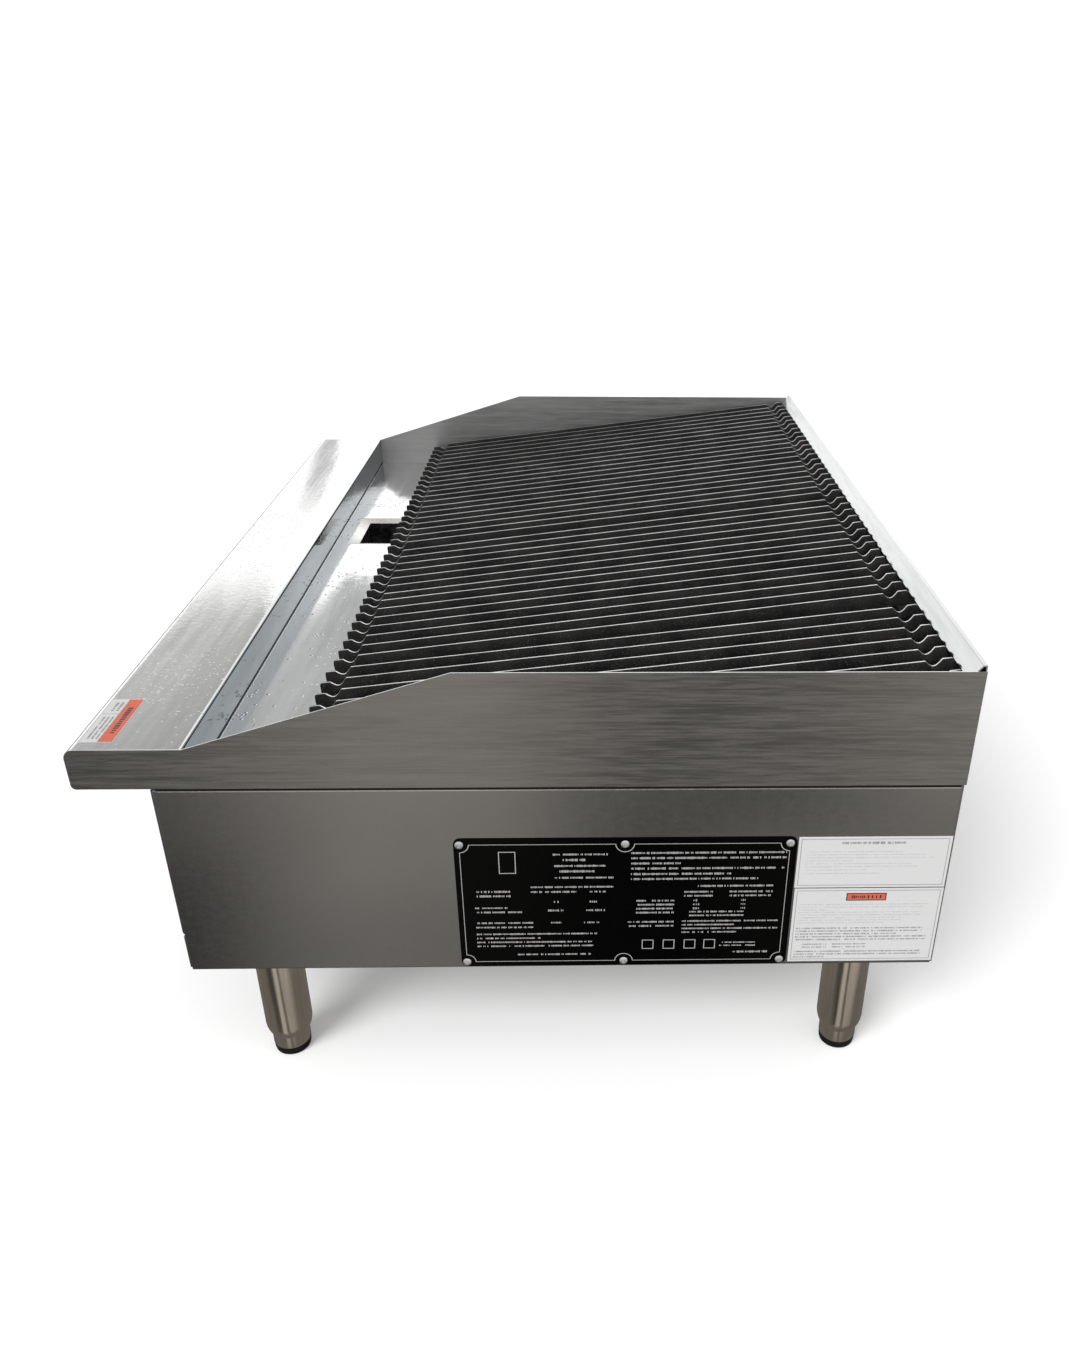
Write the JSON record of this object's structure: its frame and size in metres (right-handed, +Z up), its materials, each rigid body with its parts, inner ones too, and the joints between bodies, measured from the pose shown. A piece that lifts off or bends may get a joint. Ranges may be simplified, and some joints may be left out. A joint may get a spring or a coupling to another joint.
{
  "type": "charbroiler grill",
  "caption": "Countertop gas charbroiler: stainless box on adjustable legs, sloping cast grates between side splashes, front ledge with a grease trough, knobs and a pull-out drip tray.",
  "frame": {"origin": "on the counter under the middle of the machine's overall box, knobs and gas inlet included", "axes": "+X to the operator's right, +Y to the rear, +Z up"},
  "size_m": [0.914, 0.731, 0.4029],
  "materials": {
    "splash_steel": "brushed along the depth",
    "body_steel": "fine satin",
    "plain_steel": "mill finish",
    "black_pipe": "black gas pipe",
    "bezel_chrome": "polished",
    "igniter_plastic": "satin",
    "brass": "turned",
    "plate_black": "gloss black enamel",
    "rivet_metal": "bright",
    "label_print": "printed film",
    "burner_steel": "heat dulled",
    "radiant_steel": "heat dulled",
    "stem_steel": "plated",
    "knob_plastic": "gloss black",
    "button_plastic": "gloss black",
    "leg_steel": "brushed",
    "grate_iron": "rough black casting"
  },
  "bodies": {
    "frame": {"side_splash_right": "splash_steel", "side_splash_left": "splash_steel", "front_ledge": "splash_steel", "grease_trough": "splash_steel", "grease_chute": "splash_steel", "rear_splash": "splash_steel", "body_side_right": "body_steel", "body_side_left": "body_steel", "control_panel": "body_steel", "back_panel": "body_steel", "bottom_pan": "plain_steel", "firebox_liner": "plain_steel", "grate_rail_front": "plain_steel", "grate_rail_rear": "plain_steel", "burner_rails": "plain_steel", "manifold_pipe": "black_pipe", "inlet_pipe": "black_pipe", "knob_bezels": "bezel_chrome", "igniter_bodies": "igniter_plastic", "pilot_burners": "plain_steel", "burner_orifices": "brass", "rating_plate": "plate_black", "plate_rivets": "rivet_metal", "information_labels": "label_print", "burner_1": "burner_steel", "radiant_1": "radiant_steel", "gas_valve_1": "brass", "burner_2": "burner_steel", "radiant_2": "radiant_steel", "gas_valve_2": "brass", "burner_3": "burner_steel", "radiant_3": "radiant_steel", "gas_valve_3": "brass", "leg_1": "leg_steel", "leg_2": "leg_steel", "leg_3": "leg_steel", "leg_4": "leg_steel"},
    "spring_cup_1": {"spring_cup_1": "stem_steel"},
    "knob_1": {"knob_1": "knob_plastic", "valve_stem_1": "stem_steel"},
    "igniter_button_1": {"igniter_button_1": "button_plastic"},
    "spring_cup_2": {"spring_cup_2": "stem_steel"},
    "knob_2": {"knob_2": "knob_plastic", "valve_stem_2": "stem_steel"},
    "igniter_button_2": {"igniter_button_2": "button_plastic"},
    "spring_cup_3": {"spring_cup_3": "stem_steel"},
    "knob_3": {"knob_3": "knob_plastic", "valve_stem_3": "stem_steel"},
    "igniter_button_3": {"igniter_button_3": "button_plastic"},
    "grate_1": {"grate_1": "grate_iron"},
    "grate_2": {"grate_2": "grate_iron"},
    "grate_3": {"grate_3": "grate_iron"},
    "grate_4": {"grate_4": "grate_iron"},
    "grate_5": {"grate_5": "grate_iron"},
    "grate_6": {"grate_6": "grate_iron"},
    "drip_tray": {"drip_tray": "body_steel"},
    "levelling_foot_1": {"levelling_foot_1": "leg_steel"},
    "levelling_foot_2": {"levelling_foot_2": "leg_steel"},
    "levelling_foot_3": {"levelling_foot_3": "leg_steel"},
    "levelling_foot_4": {"levelling_foot_4": "leg_steel"}
  },
  "joints": [
    {"name": "knob_push_1", "type": "slide", "parent": "frame", "child": "spring_cup_1", "axis": [0, 1, 0], "range_m": [0, 0.0035], "stiffness_N_per_m": 1200, "springref_m": -0.003},
    {"name": "knob_turn_1", "type": "hinge", "parent": "spring_cup_1", "child": "knob_1", "pos_m": [-0.3, -0.3375, 0.223], "axis": [0, -1, 0], "range_deg": [0, 210]},
    {"name": "igniter_push_1", "type": "slide", "parent": "frame", "child": "igniter_button_1", "axis": [0, 1, 0], "range_m": [0, 0.006], "stiffness_N_per_m": 1500, "springref_m": -0.003},
    {"name": "knob_push_2", "type": "slide", "parent": "frame", "child": "spring_cup_2", "axis": [0, 1, 0], "range_m": [0, 0.0035], "stiffness_N_per_m": 1200, "springref_m": -0.003},
    {"name": "knob_turn_2", "type": "hinge", "parent": "spring_cup_2", "child": "knob_2", "pos_m": [0, -0.3375, 0.223], "axis": [0, -1, 0], "range_deg": [0, 210]},
    {"name": "igniter_push_2", "type": "slide", "parent": "frame", "child": "igniter_button_2", "axis": [0, 1, 0], "range_m": [0, 0.006], "stiffness_N_per_m": 1500, "springref_m": -0.003},
    {"name": "knob_push_3", "type": "slide", "parent": "frame", "child": "spring_cup_3", "axis": [0, 1, 0], "range_m": [0, 0.0035], "stiffness_N_per_m": 1200, "springref_m": -0.003},
    {"name": "knob_turn_3", "type": "hinge", "parent": "spring_cup_3", "child": "knob_3", "pos_m": [0.3, -0.3375, 0.223], "axis": [0, -1, 0], "range_deg": [0, 210]},
    {"name": "igniter_push_3", "type": "slide", "parent": "frame", "child": "igniter_button_3", "axis": [0, 1, 0], "range_m": [0, 0.006], "stiffness_N_per_m": 1500, "springref_m": -0.003},
    {"name": "grate_lift_1", "type": "slide", "parent": "frame", "child": "grate_1", "axis": [0, 0, 1], "range_m": [0, 0.15]},
    {"name": "grate_lift_2", "type": "slide", "parent": "frame", "child": "grate_2", "axis": [0, 0, 1], "range_m": [0, 0.15]},
    {"name": "grate_lift_3", "type": "slide", "parent": "frame", "child": "grate_3", "axis": [0, 0, 1], "range_m": [0, 0.15]},
    {"name": "grate_lift_4", "type": "slide", "parent": "frame", "child": "grate_4", "axis": [0, 0, 1], "range_m": [0, 0.15]},
    {"name": "grate_lift_5", "type": "slide", "parent": "frame", "child": "grate_5", "axis": [0, 0, 1], "range_m": [0, 0.15]},
    {"name": "grate_lift_6", "type": "slide", "parent": "frame", "child": "grate_6", "axis": [0, 0, 1], "range_m": [0, 0.15]},
    {"name": "tray_slide", "type": "slide", "parent": "frame", "child": "drip_tray", "axis": [0, -1, 0], "range_m": [0, 0.56]},
    {"name": "foot_adjust_1", "type": "slide", "parent": "frame", "child": "levelling_foot_1", "axis": [0, 0, -1], "range_m": [-0.006, 0.012]},
    {"name": "foot_adjust_2", "type": "slide", "parent": "frame", "child": "levelling_foot_2", "axis": [0, 0, -1], "range_m": [-0.006, 0.012]},
    {"name": "foot_adjust_3", "type": "slide", "parent": "frame", "child": "levelling_foot_3", "axis": [0, 0, -1], "range_m": [-0.006, 0.012]},
    {"name": "foot_adjust_4", "type": "slide", "parent": "frame", "child": "levelling_foot_4", "axis": [0, 0, -1], "range_m": [-0.006, 0.012]}
  ]
}
